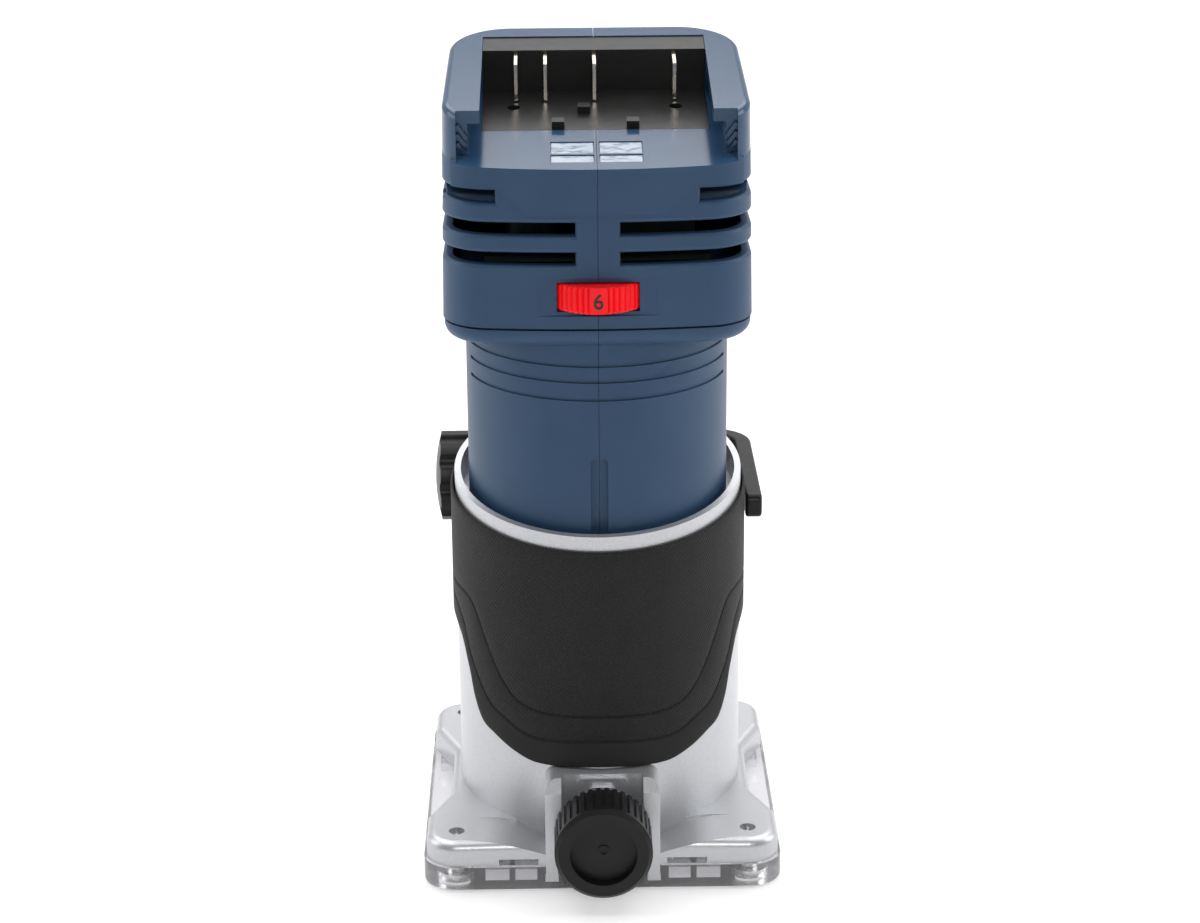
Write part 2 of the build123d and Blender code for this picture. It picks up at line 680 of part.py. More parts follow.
def make_barrel():
    """Barrel and bottom cup as one hollow form, before it is split."""
    cup_top = parting_z - parting_gap / 2
    cup = Pos(0, 0, cup_bottom) * extrude(head_plan(0.3), cup_top - cup_bottom)
    cup = fillet(cup.faces().sort_by(Axis.Z)[0].edges(), 3.6)
    body = upright(motor_r, barrel_bottom, cup_bottom + 1) + cup
    lip = extrude(head_plan(1.4), 4.0) - Pos(0, 0, -1) * extrude(head_plan(head_wall + 0.3), 6.0)
    body += Pos(0, 0, cup_top - 2.0) * lip
    cavity_floor = cup_bottom + head_wall
    body -= Pos(0, 0, cavity_floor) * extrude(head_plan(head_wall + 0.3), 10)
    body -= upright(barrel_inner_r, barrel_bottom - 1, cup_top + 1)
    pad = block(
        (rack_centre_x - rack_side - 2, rack_centre_x + rack_side + 2),
        (stator_r + 0.3, rack_back_y), (bell_top + 2, pinion_z + rack_teeth * tooth_pitch / 2 + 4),
    )
    body += pad & upright(motor_r - 1, barrel_bottom, cup_bottom)
    for angle in (45, 135, 225, 315):
        body += Rot(0, 0, angle) * (
            upright(3.0, bell_top + 0.2, bell_top + 12, bell_screw_circle_r) & upright(motor_r - 1, 0, 200)
        )
    body -= key_slot() + arc_grooves()
    half = rack_teeth * tooth_pitch / 2 + seat_gap
    body -= block(
        (rack_centre_x - rack_side - seat_gap, rack_centre_x + rack_side + seat_gap),
        (rack_back_y - seat_gap, 60), (pinion_z - half, pinion_z + half),
    )
    return body - end_bell_screw_shanks(running_gap)


def key_slot():
    """Slot in the barrel that runs on the key of the sleeve."""
    half = key_slot_width / 2
    depth = (-motor_r - 2, -motor_r + key_slot_depth)
    slot = block((-half, half), depth, (barrel_bottom - 1, key_slot_top))
    return fillet(slot.edges().filter_by(Axis.Y).sort_by(Axis.Z)[-2:], 0.8)


def arc_grooves():
    """Three shallow arcs round the front of the barrel."""
    reach = 60.0
    side = (reach * sin(radians(arc_groove_span)), -reach * cos(radians(arc_groove_span)))
    sector = Pos(0, 0, 100) * extrude(
        make_face(Polyline((0, 0), (-side[0], side[1]), (-side[0], -reach), (side[0], -reach),
                           side, close=True)), 50)
    grooves = [ring(motor_r + 1, motor_r - 0.45, z - 0.4, z + 0.4) for z in arc_groove_heights]
    return (grooves[0] + grooves[1] + grooves[2]) & sector


def end_bell_screw_shanks(extra=0.0):
    """Shanks of the four screws that hold the end bell, as one cutter or as metal."""
    shanks = [
        Rot(0, 0, angle) * upright(1.4 + extra, barrel_bottom - 1.2, barrel_bottom + 21, bell_screw_circle_r)
        for angle in (45, 135, 225, 315)
    ]
    return shanks[0] + shanks[1] + shanks[2] + shanks[3]


def make_end_bell():
    """Aluminium nose plate that carries the lower bearing and lets the fan's air out."""
    flange_low = barrel_bottom - 1.5
    top = bell_top
    bell = upright(motor_r - 0.3, flange_low, barrel_bottom - seat_gap)
    bell += upright(barrel_inner_r - 0.05, barrel_bottom - seat_gap, top)
    bell -= upright(barrel_inner_r - 3.5, barrel_bottom + 3.0, top + 1)
    bell += upright(lower_bearing_r + 2.5, flange_low, top)
    bell -= upright(lower_bearing_r + seat_gap, lower_bearing_low, top + 1)
    bell -= upright(spindle_r + 3, 0, top)
    for k in range(12):
        slot = block((lower_bearing_r + 5, barrel_inner_r - 6), (-1.8, 1.8), (0, barrel_bottom + 4))
        bell -= Rot(0, 0, 30 * k + 15) * slot
    for angle in (45, 135, 225, 315):
        bell += Rot(0, 0, angle) * (
            upright(3.2, flange_low, top, bell_screw_circle_r) & upright(barrel_inner_r - 0.05, 0, 200)
        )
    half = key_slot_width / 2
    bell -= block((-half, half), (-motor_r - 2, -motor_r + key_slot_depth), (0, barrel_bottom + 1))
    bell -= end_bell_screw_shanks(0.1)
    rack_low = pinion_z - rack_teeth * tooth_pitch / 2 - 0.3
    bell -= block(
        (rack_centre_x - rack_side - 0.3, rack_centre_x + rack_side + 0.3),
        (rack_back_y - 0.3, 60), (rack_low, top + 1),
    )
    for angle in (45, 135, 225, 315):
        bell -= Rot(0, 0, angle) * upright(2.7, 0, barrel_bottom + 1.2, bell_screw_circle_r)
    return bell


def make_end_bell_screws():
    """Four screws from the nose into the barrel."""
    screws = []
    for angle in (45, 135, 225, 315):
        head = upright(2.5, barrel_bottom - 1.0, barrel_bottom + 1.2 - seat_gap, bell_screw_circle_r)
        head -= Pos(bell_screw_circle_r, 0, barrel_bottom - 1.0) * Box(3.0, 0.7, 1.0)
        screws.append(Rot(0, 0, angle) * (head + upright(1.4, barrel_bottom, barrel_bottom + 20, bell_screw_circle_r)))
    return Compound(children=screws)


def make_bearing(outer, bore, low, width):
    """Shielded ball bearing as one ring with a groove in each face."""
    body = ring(outer, bore, low, low + width)
    middle = (outer + bore) / 2
    groove = (outer - bore) / 5
    for z in (low, low + width):
        body -= ring(middle + groove, middle - groove, z - 0.4, z + 0.4)
    return body


def make_bearing_plate():
    """Plate across the barrel that carries the upper bearing."""
    low = bearing_plate_low
    high = low + 3.0
    plate = upright(barrel_inner_r - 0.1, low, high)
    plate += upright(upper_bearing_r + 2.5, low, low + upper_bearing_width + 2)
    plate -= upright(upper_bearing_r + seat_gap, low + 2, low + 30)
    plate -= upright(upper_bearing_r - 3, low - 1, low + 3)
    for k in range(8):
        plate -= Rot(0, 0, 45 * k + 22.5) * upright(4.2, low - 1, high + 1, barrel_inner_r - 8.85)
    return plate


def make_stator_core():
    """Laminated stator with six teeth."""
    inner = rotor_r + air_gap
    core = ring(stator_r, stator_r - stator_ring, stator_bottom, stator_top)
    core += ring(inner + 2.0, inner, stator_bottom, stator_top)
    for k in range(6):
        tooth = block((inner + 1, stator_r - 4), (-2.6, 2.6), (stator_bottom, stator_top))
        core += Rot(0, 0, 60 * k) * tooth
        gap = block((inner - 1, inner + 3), (-0.8, 0.8), (stator_bottom - 1, stator_top + 1))
        core -= Rot(0, 0, 60 * k + 30) * gap
    return core


def make_stator_windings():
    """Six coils, one round each stator tooth, as separate solids."""
    inner = rotor_r + air_gap + 2.2
    outer = stator_r - stator_ring - 0.2
    over = 5.0
    coils = []
    for k in range(6):
        coil = block((inner, outer), (-5.2, 5.2), (stator_bottom - over, stator_top + over))
        coil = fillet(coil.edges().filter_by(Axis.X), 3.0)
        coil -= block((inner - 1, outer + 1), (-2.7, 2.7), (stator_bottom - 0.1, stator_top + 0.1))
        coil = coil & ring(outer + 0.1, inner, stator_bottom - over, stator_top + over)
        coils.append(Rot(0, 0, 60 * k) * coil)
    return Compound(children=coils)


def make_spindle():
    """Stepped steel spindle with wrench flats and a tapered nose."""
    flats_low = nose_low + 13.0
    journal = lower_bearing_low
    spindle = upright(nose_r, nose_low, flats_low)
    spindle += upright(nose_r + 0.8, flats_low, journal - 0.1)
    spindle += upright(spindle_r, journal - 1, bearing_plate_low + 2 - seat_gap)
    spindle += upright(spindle_top_r, bearing_plate_low + 1, bearing_plate_low + 10)
    for side in (-1, 1):
        spindle -= block(sorted((side * 6.5, side * 12)), (-12, 12), (flats_low + 0.8, journal - 3.5))
    taper = Pos(0, 0, (nose_low + flats_low) / 2) * Cone(5.6, 4.2, flats_low - nose_low)
    spindle -= taper + upright(3.4, nose_low + 3, nose_low + 29)
    return spindle


def make_collet():
    """Slit collet with a taper and a collar that the nut holds."""
    low = nose_low - 1.8
    taper_low = nose_low + 0.3
    top = nose_low + 12.0
    body = Pos(0, 0, (taper_low + top) / 2) * Cone(5.45, 4.2, top - taper_low)
    body += upright(5.45, low + 1.4, taper_low)
    body += Pos(0, 0, low + 0.7) * Cone(4.3, 5.45, 1.4)
    body -= upright(collet_bore_r, low - 1, top + 1)
    for k in range(4):
        slit = block((0, 12), (-0.3, 0.3), (low - 1, nose_low + 8))
        body -= Rot(0, 0, 90 * k + 45) * slit
    return body


def make_collet_nut():
    """Hexagon nut that draws the collet into the spindle."""
    low = nose_low - 3.0
    high = nose_low + 11.0
    hexagon = extrude(RegularPolygon(collet_nut_across / 2, 6, major_radius=False), high - low)
    nut = (Pos(0, 0, low) * hexagon) & (
        upright(10.6, low, high) - Pos(0, 0, low - 0.01) * (Cylinder(12, 2) - Cone(9.6, 10.8, 2))
    )
    nut += upright(9.3, high - 3, high + 1.2)
    nut -= upright(nose_r + 0.05, nose_low - 0.1, high + 5)
    nut -= upright(5.5, nose_low - 0.6, nose_low + 1)
    nut -= Pos(0, 0, nose_low - 1.1) * Cone(4.4, 5.5, 1.4)
    return nut - upright(4.4, low - 1, nose_low - 1)


def make_rotor_core():
    """Rotor lamination stack."""
    return ring(rotor_r - 2.0, spindle_r + seat_gap, stator_bottom, stator_top)


def make_rotor_magnets():
    """Four arc magnets bonded to the rotor."""
    shell = ring(rotor_r, rotor_r - 2.0 + seat_gap, stator_bottom + 0.5, stator_top - 0.5)
    magnets = []
    for k in range(4):
        span = 82.0
        reach = 40.0
        edge = (reach * cos(radians(span / 2)), reach * sin(radians(span / 2)))
        sector = make_face(Polyline((0, 0), edge, (edge[0], -edge[1]), close=True))
        wedge = Pos(0, 0, stator_bottom) * extrude(sector, 60)
        magnets.append(shell & (Rot(0, 0, 90 * k) * wedge))
    return Compound(children=magnets)


def make_fan():
    """Moulded fan with straight blades."""
    low = bell_top + 3.0
    fan = upright(fan_r, low, low + 1.6) + upright(9.0, low, low + 9)
    blades = [
        Rot(0, 0, 360 * k / 11) * block((8, fan_r - 0.5), (-0.7, 0.7), (low + 1, low + 8))
        for k in range(11)
    ]
    fan += blades
    return fan - upright(spindle_r + seat_gap, low - 1, low + 20)


# ---- head ------------------------------------------------------------------------------

def bib_layer(outline, proud, low):
    """One layer of the apron, cut to its outline in the front view."""
    sheet = Pos(0, 0, low - 1) * extrude(offset(head_plan(), proud), 14)
    return sheet & front_prism(outline, -80, head_front + 13)


def bib():
    """Apron on the front: a proud band below the shelf with a tab in the middle."""
    side = head_half_width - 3.3
    tab_low = shelf_front_z - 11.1
    band_low = shelf_front_z - 4.5
    top = shelf_front_z + 1.3
    outline = [(-16.6, tab_low), (16.6, tab_low), (23.5, band_low), (side, band_low), (side, top),
               (-side, top), (-side, band_low), (-23.5, band_low)]
    skirt = 0.5
    under = [(x + skirt * (1 if x > 0 else -1), z - skirt if z < top else z) for x, z in outline]
    band = bib_layer(outline, bib_proud, tab_low) + bib_layer(under, bib_proud / 2, tab_low - skirt)
    return band


def cut_vents(body):
    """Slots that wrap the front corners, with rounded lips."""
    rows = [(vent_inner_x, pair) for pair in vent_heights] + [(vent_corner_x, vent_corner_heights)]
    for inner_x, (low, high) in rows:
        slot = block((inner_x, 60), (-60, vent_end_y), (low, high)) - head_solid(head_wall + 1)
        body -= both_sides(slot)
    inside = head_solid(0.25)
    lips = []
    for edge in body.edges():
        middle = edge.position_at(0.5)
        for inner_x, (low, high) in rows:
            on_lip = low - 0.05 < middle.Z < high + 0.05 and middle.Y < vent_end_y + 0.05
            if on_lip and not inside.is_inside(middle):
                lips.append(edge)
    return fillet(lips, vent_lip_r)


def round_foot_rim(body):
    """Rounds the outer rim of the battery foot."""
    rim = []
    for edge in body.edges():
        points = [slide_frame().to_local_coords(edge.position_at(t)) for t in (0, 0.5, 1)]
        if all(abs(point.Z - rail_height) < 0.01 for point in points):
            outside = abs(points[1].X) > channel_outer + 0.1 or points[1].Y > terminal_back + 0.5
            if outside:
                rim.append(edge)
    return fillet(rim, foot_rim_r)


def screw_places():
    """(y, z) of the three screws that join the halves of the head."""
    return [
        (head_back - 10.0, parting_z + 8.9), (head_back - 16.0, parting_z + 40.4),
        (head_front + 15.2, parting_z + 29.4),
    ]


def make_head():
    """Head with vents, dial window and battery foot, before it is split."""
    big = 90.0
    outer = head_solid() & block((-big, big), (-big, big), (parting_z + parting_gap / 2, 300))
    body = cut_vents(outer) + bib()
    body -= on_slide((-big, big), (-big, big), (rail_height, 60))
    core = head_solid(head_wall) & block((-big, big), (-big, big), (parting_z - 1, 300))
    core -= on_slide((-big, big), (-big, big), (-floor_thick, 60))
    body -= core
    lip_room = Pos(0, 0, parting_z - 1) * extrude(head_plan(1.3), 3.6)
    body -= lip_room - Pos(0, 0, parting_z - 2) * extrude(head_plan(head_wall + 3), 6)
    # battery foot: pocket, undercut channels and open front
    body -= on_slide((-rail_inner, rail_inner), (-20, terminal_wall), (0, 30))
    body -= on_slide((-channel_side, channel_side), (-20, terminal_wall - 1), (0, rail_height - rail_thick))
    body -= on_slide((-channel_outer, channel_outer), (-20, rail_start), (0, 30))
    for n in (1.4, 3.6, 5.8):
        rib = Box(0.9, 2.0, channel_rib_depth + 1.4)
        place = slide_frame() * Pos((channel_side + channel_outer) / 2, rail_start, n) * Rot(0, 35, 0)
        body += both_sides(place * rib)
    body -= on_slide((-rail_inner, rail_inner), (terminal_wall - 1, terminal_back), (-floor_thick - 1, 30))
    body -= on_slide((-rail_inner, rail_inner), (terminal_start, terminal_wall), (-2.0, 1))
    body -= both_sides(on_slide((0.6, 10.9), (4.5, 9.0), (-0.4, 1)))
    body -= both_sides(on_slide((0.6, 10.9), (9.8, 17.0), (-0.4, 1)))
    # dial window in a shallow frame
    front = head_front - 0.2
    frame_half = dial_window_half + 4.5
    body -= block((-frame_half, frame_half), (-60, front + 0.8), (dial_bottom - 1.4, dial_top + 1.3))
    body -= block(
        (-dial_window_half, dial_window_half), (-60, dial_y + 3), (dial_bottom - 0.4, dial_top + 0.3)
    )
    body -= upright(dial_r + 0.4, dial_bottom - 0.4, dial_top + 0.3, 0, dial_y)
    # switch window in the leaning back
    body -= switch_frame() * Box(10.6, 8.0, 16.0 + 2 * switch_travel - 10.0)
    # screw bosses
    places = screw_places()
    for y, z in places:
        body += along_x(3.6, -head_half_width + 1.5, head_half_width - 1.5, y, z) & head_solid(1.0)
    for y, z in places:
        body -= along_x(1.5, -head_half_width + 2, head_half_width - 6, y, z)
        body -= along_x(2.8, -60, -head_half_width + 5, y, z)
    return round_foot_rim(body)


def switch_frame():
    """Local frame on the leaning back: X across, Y out of the back, Z up the back."""
    y = head_back - (switch_z - parting_z) * head_slope
    return Pos(0, y, switch_z) * Rot(foot_tilt, 0, 0)


def make_switch_button():
    """Sliding power switch with three grip ridges, at its off position."""
    low = -switch_travel / 2
    button = Pos(0, 0.2, low) * Box(10.0, 5.4, 9.0)
    for k in (-1, 0, 1):
        button += Pos(0, 2.9 + 0.3, low + 2.4 * k) * Box(8.6, 0.8, 1.0)
    return switch_frame() * button


def make_switch_module():
    """Switch body behind the slider."""
    return switch_frame() * Pos(0, -7.2, 0) * Box(14.0, 9.0, 20.0)


def make_shell_screws():
    """Three screws across the head."""
    screws = []
    for y, z in screw_places():
        low = -head_half_width + 2.2
        screw = along_x(2.7, low, -head_half_width + 5 - seat_gap, y, z)
        screw += along_x(1.5 - running_gap, low + 1, head_half_width - 8, y, z)
        screws.append(screw - Pos(low, y, z) * Box(2.0, 0.8, 3.6))
    return Compound(children=screws)


def make_terminal_block():
    """Black insulator in the battery foot: floor, wall, latch studs and blade slots."""
    gap = 0.1
    body = on_slide((-rail_inner + gap, rail_inner - gap), (terminal_start + gap, terminal_wall),
                    (-2.0 + gap, 0))
    body += on_slide((-rail_inner + gap, rail_inner - gap), (terminal_wall - 0.9, terminal_back - gap),
                     (-floor_thick + gap, rail_height - 0.3))
    for x, u in ((-9.0, 26.5), (9.0, 26.5), (-2.7, 36.0)):
        body += on_slide((x - 1.5, x + 1.5), (u - 1.4, u + 1.4), (-1, 1.8))
    for x in (-19.8, 19.8):
        centre = on_slide((x - 0.5, x + 0.5), (38.5, 39.5), (0, 1)).center()
        body -= Pos(*centre) * Rot(foot_tilt, 0, 0) * Cylinder(1.6, 4)
    for x in blade_places():
        body -= on_slide((x - 0.42, x + 0.42), (40, terminal_back - 2), (0.4, 9.8))
    return body


def blade_places():
    """x of the four contact blades."""
    return (-19.2, -12.0, 0.0, 19.6)


def make_contact_blades():
    """Four plated blades standing out of the terminal block's wall."""
    return Compound(children=[
        on_slide((x - 0.4, x + 0.4), (terminal_wall - 8.5, terminal_back - 2.02), (0.42, 9.78))
        for x in blade_places()
    ])


def make_control_board():
    """Electronics board across the head, with its capacitor and power stage."""
    low = board_low
    board = block((-27, 27), (dial_y + 1, 12), (low, low + 1.6))
    board += upright(6.0, low + 1.6, low + 13, -16, -6)
    board += block((4, 24), (-12, 8), (low + 1.6, low + 7))
    board -= upright(1.6, low - 1, low + 3, 0, dial_y + 6)
    return board


def make_dial_potentiometer():
    """Potentiometer under the board with its shaft in the dial."""
    top = board_low - seat_gap
    body = block((-6, 6), (dial_y - 2.5, dial_y + 6), (dial_top + 0.6, top))
    return body + upright(2.0, dial_bottom + 1.0, dial_top + 0.7, 0, dial_y)


def make_speed_dial():
    """Fluted thumb wheel with a smooth patch for each of its numbers."""
    dial = upright(dial_r, dial_bottom, dial_top, 0, dial_y)
    flute_r = 0.55
    patch = 10.0
    figures = [dial_figure_step * k for k in range(6)] + [360.0]
    for k in range(dial_flutes):
        turn = 360 * (k + 0.5) / dial_flutes
        if min(abs(turn - figure) for figure in figures) < patch:
            continue
        flute = upright(flute_r, dial_bottom - 1, dial_top + 1, 0, -dial_r - 0.15)
        dial -= Pos(0, dial_y, 0) * Rot(0, 0, turn) * flute
    return dial - upright(2.0 + running_gap, dial_bottom + 0.9, dial_top + 1, 0, dial_y)


# ---- every node, in the order it is put together ----------------------------------------

barrel = make_barrel()
head = make_head()
nodes = {
    "sub_base": make_sub_base(),
    "sub_base_screws": make_sub_base_screws(),
    "base_casting": make_base_casting(),
    "grip_sleeve": make_grip_sleeve(),
    "guide_knob": make_guide_knob(),
    "guide_stud": make_guide_stud(),
    "guide_washer": make_guide_washer(),
    "clamp_bolt": make_clamp_bolt(),
    "clamp_nut": make_clamp_nut(),
    "clamp_washer": make_clamp_washer(),
    "lever_pin": make_lever_pin(),
    "clamp_lever": make_clamp_lever(),
    "depth_pinion": make_depth_pinion(),
    "pinion_shaft": make_pinion_shaft(),
    "pinion_bush": make_pinion_bush(),
    "depth_knob": make_depth_knob(),
    "depth_rack": make_depth_rack(),
    "motor_shell_left": half_of(barrel, -1),
    "motor_shell_right": half_of(barrel, 1),
    "end_bell": make_end_bell(),
    "end_bell_screws": make_end_bell_screws(),
    "lower_bearing": make_bearing(
        lower_bearing_r, spindle_r + running_gap, lower_bearing_low, lower_bearing_width),
    "upper_bearing": make_bearing(
        upper_bearing_r, spindle_top_r + running_gap, bearing_plate_low + 2, upper_bearing_width),
    "bearing_plate": make_bearing_plate(),
    "stator_core": make_stator_core(),
    "stator_windings": make_stator_windings(),
    "spindle": make_spindle(),
    "rotor_core": make_rotor_core(),
    "rotor_magnets": make_rotor_magnets(),
    "fan": make_fan(),
    "collet": make_collet(),
    "collet_nut": make_collet_nut(),
    "upper_shell_left": half_of(head, -1),
    "upper_shell_right": half_of(head, 1),
    "shell_screws": make_shell_screws(),
    "terminal_block": make_terminal_block(),
    "contact_blades": make_contact_blades(),
    "control_board": make_control_board(),
    "dial_potentiometer": make_dial_potentiometer(),
    "speed_dial": make_speed_dial(),
    "switch_button": make_switch_button(),
    "switch_module": make_switch_module(),
}

os.makedirs("parts", exist_ok=True)
for name, solid in nodes.items():
    export_step(solid, f"parts/{name}.step")
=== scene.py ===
from math import asin, atan2, cos, pi, radians, sin
import bmesh
import bpy
from mathutils import Matrix, Vector


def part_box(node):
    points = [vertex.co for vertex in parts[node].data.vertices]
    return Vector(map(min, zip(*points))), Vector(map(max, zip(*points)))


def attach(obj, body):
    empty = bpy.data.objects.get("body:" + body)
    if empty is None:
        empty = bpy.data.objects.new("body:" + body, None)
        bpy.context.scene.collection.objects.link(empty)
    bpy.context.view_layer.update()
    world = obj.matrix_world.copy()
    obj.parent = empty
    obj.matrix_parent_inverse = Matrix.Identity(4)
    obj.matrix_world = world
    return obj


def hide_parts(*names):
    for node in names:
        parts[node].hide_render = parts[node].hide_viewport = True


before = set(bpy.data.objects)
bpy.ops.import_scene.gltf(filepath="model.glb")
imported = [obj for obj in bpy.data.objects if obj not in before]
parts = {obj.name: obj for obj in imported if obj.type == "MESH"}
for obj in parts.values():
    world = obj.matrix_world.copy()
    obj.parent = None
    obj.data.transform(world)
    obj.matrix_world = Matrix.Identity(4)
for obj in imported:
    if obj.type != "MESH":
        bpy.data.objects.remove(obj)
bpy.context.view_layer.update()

# ---- camera ----------------------------------------------------------------------------
# An 85 mm lens a little above the tool, about 0.7 m in front of it, looking down on the
# battery foot.
lens_data = bpy.data.cameras.new("camera")
lens_data.lens = 85.1
lens_data.sensor_width = 36.0
camera = bpy.data.objects.new("camera", lens_data)
bpy.context.scene.collection.objects.link(camera)
eye = Vector((-0.00936, -0.68318, 0.33250))
look_down, look_right, lean = radians(18.947), radians(0.839), radians(-0.428)
camera.matrix_world = (
    Matrix.Translation(eye)
    @ Matrix.Rotation(-look_right, 4, "Z")
    @ Matrix.Rotation(pi / 2 - look_down, 4, "X")
    @ Matrix.Rotation(lean, 4, "Z")
)
bpy.context.scene.camera = camera

# ---- studio ----------------------------------------------------------------------------
# A pale floor, lit from below like a light table, under a large overhead soft box, with a
# smaller one each side. The room is dim in front of the tool and pale behind it, and a small
# flash stands by the camera.
bpy.context.scene.view_settings.view_transform = "Standard"
surround = bpy.data.worlds.new("surround")
surround.use_nodes = True
room_nodes = surround.node_tree.nodes
room_links = surround.node_tree.links
room = room_nodes["Background"]
room.inputs["Color"].default_value = (1.0, 1.0, 1.0, 1.0)
direction = room_nodes.new("ShaderNodeTexCoord")
split = room_nodes.new("ShaderNodeSeparateXYZ")
room_links.new(direction.outputs["Generated"], split.inputs["Vector"])
dim_front, pale_back = 0.06, 0.75
front_to_back = room_nodes.new("ShaderNodeMapRange")
front_to_back.inputs["From Min"].default_value = -0.9
front_to_back.inputs["From Max"].default_value = 0.5
front_to_back.inputs["To Min"].default_value = dim_front
front_to_back.inputs["To Max"].default_value = pale_back
room_links.new(split.outputs["Y"], front_to_back.inputs["Value"])
room_links.new(front_to_back.outputs["Result"], room.inputs["Strength"])
backdrop = room_nodes.new("ShaderNodeBackground")
backdrop.inputs["Color"].default_value = (0.97, 0.97, 0.97, 1.0)
seen = room_nodes.new("ShaderNodeLightPath")
either = room_nodes.new("ShaderNodeMixShader")
room_links.new(seen.outputs["Is Camera Ray"], either.inputs["Fac"])
room_links.new(room.outputs["Background"], either.inputs[1])
room_links.new(backdrop.outputs["Background"], either.inputs[2])
room_links.new(either.outputs["Shader"], room_nodes["World Output"].inputs["Surface"])
bpy.context.scene.world = surround


def soft_box(name, place, aim, size, watts):
    """A square area light that looks at a point; size is its side in metres."""
    data = bpy.data.lights.new(name, "AREA")
    data.size = size
    data.energy = watts
    light = bpy.data.objects.new(name, data)
    bpy.context.scene.collection.objects.link(light)
    towards = Vector(aim) - Vector(place)
    light.rotation_euler = towards.to_track_quat("-Z", "Y").to_euler()
    light.location = place


soft_box("top_light", (0.0, 0.70, 1.25), (0.0, 0.70, 0.0), 1.9, 30.0)
soft_box("left_light", (-0.70, 0.10, 0.35), (0.0, 0.0, 0.10), 0.45, 1.6)
soft_box("right_light", (0.70, 0.05, 0.38), (0.0, 0.0, 0.10), 0.45, 2.2)
soft_box("flash", (0.02, -0.95, 0.55), (0.0, 0.0, 0.10), 0.12, 2.6)

floor_half = 6.0
floor_gap = 0.0002
floor_mesh = bpy.data.meshes.new("floor")
floor_form = bmesh.new()
bmesh.ops.create_grid(floor_form, x_segments=1, y_segments=1, size=floor_half)
bmesh.ops.translate(floor_form, verts=floor_form.verts, vec=(0, 0, -floor_gap))
floor_form.to_mesh(floor_mesh)
floor_form.free()
floor = bpy.data.objects.new("floor", floor_mesh)
bpy.context.scene.collection.objects.link(floor)
paper = bpy.data.materials.new("paper")
paper.use_nodes = True
paper_shader = paper.node_tree.nodes["Principled BSDF"]
paper_shader.inputs["Base Color"].default_value = (0.62, 0.62, 0.62, 1.0)
paper_shader.inputs["Roughness"].default_value = 0.9
paper_shader.inputs["Emission Color"].default_value = (1.0, 1.0, 1.0, 1.0)
paper_shader.inputs["Emission Strength"].default_value = 0.38
floor_mesh.materials.append(paper)


def new_material(name):
    """A material with its shader, node and link lists, and a position in metres."""
    material = bpy.data.materials.new(name)
    material.use_nodes = True
    nodes = material.node_tree.nodes
    links = material.node_tree.links
    shader = nodes["Principled BSDF"]
    place = nodes.new("ShaderNodeTexCoord")
    return material, shader, nodes, links, place.outputs["Object"]


def noise(nodes, links, where, scale, detail=2.0, roughness=0.5):
    """Noise over a position; scale is in grains per metre."""
    node = nodes.new("ShaderNodeTexNoise")
    node.inputs["Scale"].default_value = scale
    node.inputs["Detail"].default_value = detail
    node.inputs["Roughness"].default_value = roughness
    links.new(where, node.inputs["Vector"])
    return node.outputs["Fac"]


def relief(nodes, links, shader, height, depth, strength=1.0, under=None):
    """Bump of a given depth in metres, on top of another bump where one is given."""
    bump = nodes.new("ShaderNodeBump")
    bump.inputs["Strength"].default_value = strength
    bump.inputs["Distance"].default_value = depth
    links.new(height, bump.inputs["Height"])
    if under is not None:
        links.new(under, bump.inputs["Normal"])
    links.new(bump.outputs["Normal"], shader.inputs["Normal"])
    return bump.outputs["Normal"]


def blend_colours(nodes, links, shader, amount, low, high, start=0.0, end=1.0):
    """Base colour that runs from low to high as an amount rises from start to end."""
    ramp = nodes.new("ShaderNodeValToRGB")
    ramp.color_ramp.elements[0].position = start
    ramp.color_ramp.elements[1].position = end
    ramp.color_ramp.elements[0].color = (*low, 1.0)
    ramp.color_ramp.elements[1].color = (*high, 1.0)
    links.new(amount, ramp.inputs["Fac"])
    links.new(ramp.outputs["Color"], shader.inputs["Base Color"])


def vary_roughness(nodes, links, shader, amount, low, high):
    """Roughness that runs between two values as an amount goes from 0 to 1."""
    spread = nodes.new("ShaderNodeMapRange")
    spread.inputs["To Min"].default_value = low
    spread.inputs["To Max"].default_value = high
    links.new(amount, spread.inputs["Value"])
    links.new(spread.outputs["Result"], shader.inputs["Roughness"])


def paint(material, *names):
    """Gives a carried-over part its finish."""
    for name in names:
        part = parts[name]
        part.data.materials.clear()
        part.data.materials.append(material)


clear_plastic, shader, nodes, links, where = new_material("clear_acrylic")
shader.inputs["Transmission Weight"].default_value = 0.86
shader.inputs["IOR"].default_value = 1.22
tint = noise(nodes, links, where, 40)
blend_colours(nodes, links, shader, tint, (0.93, 0.92, 0.96), (0.99, 0.99, 1.0))
vary_roughness(nodes, links, shader, noise(nodes, links, where, 160), 0.02, 0.09)
relief(nodes, links, shader, noise(nodes, links, where, 120), 0.00005, 0.4)
paint(clear_plastic, "sub_base")

# ---- plated fasteners ----------------------------------------------------------------------
# Screws of the sub-base and end bell, the stud and washer of the guide knob, and the clamp's
# bolt, nut, washer and pin: turned steel with a bright zinc plate.
zinc, shader, nodes, links, where = new_material("bright_zinc")
shader.inputs["Metallic"].default_value = 1.0
plate_tone = noise(nodes, links, where, 900, 4)
blend_colours(nodes, links, shader, plate_tone, (0.55, 0.56, 0.56), (0.80, 0.79, 0.76))
vary_roughness(nodes, links, shader, noise(nodes, links, where, 2500), 0.18, 0.38)
relief(nodes, links, shader, noise(nodes, links, where, 5000), 0.00002, 0.5)
paint(zinc, "sub_base_screws", "guide_stud", "guide_washer", "clamp_bolt", "clamp_nut", "clamp_washer",
      "lever_pin", "end_bell_screws")

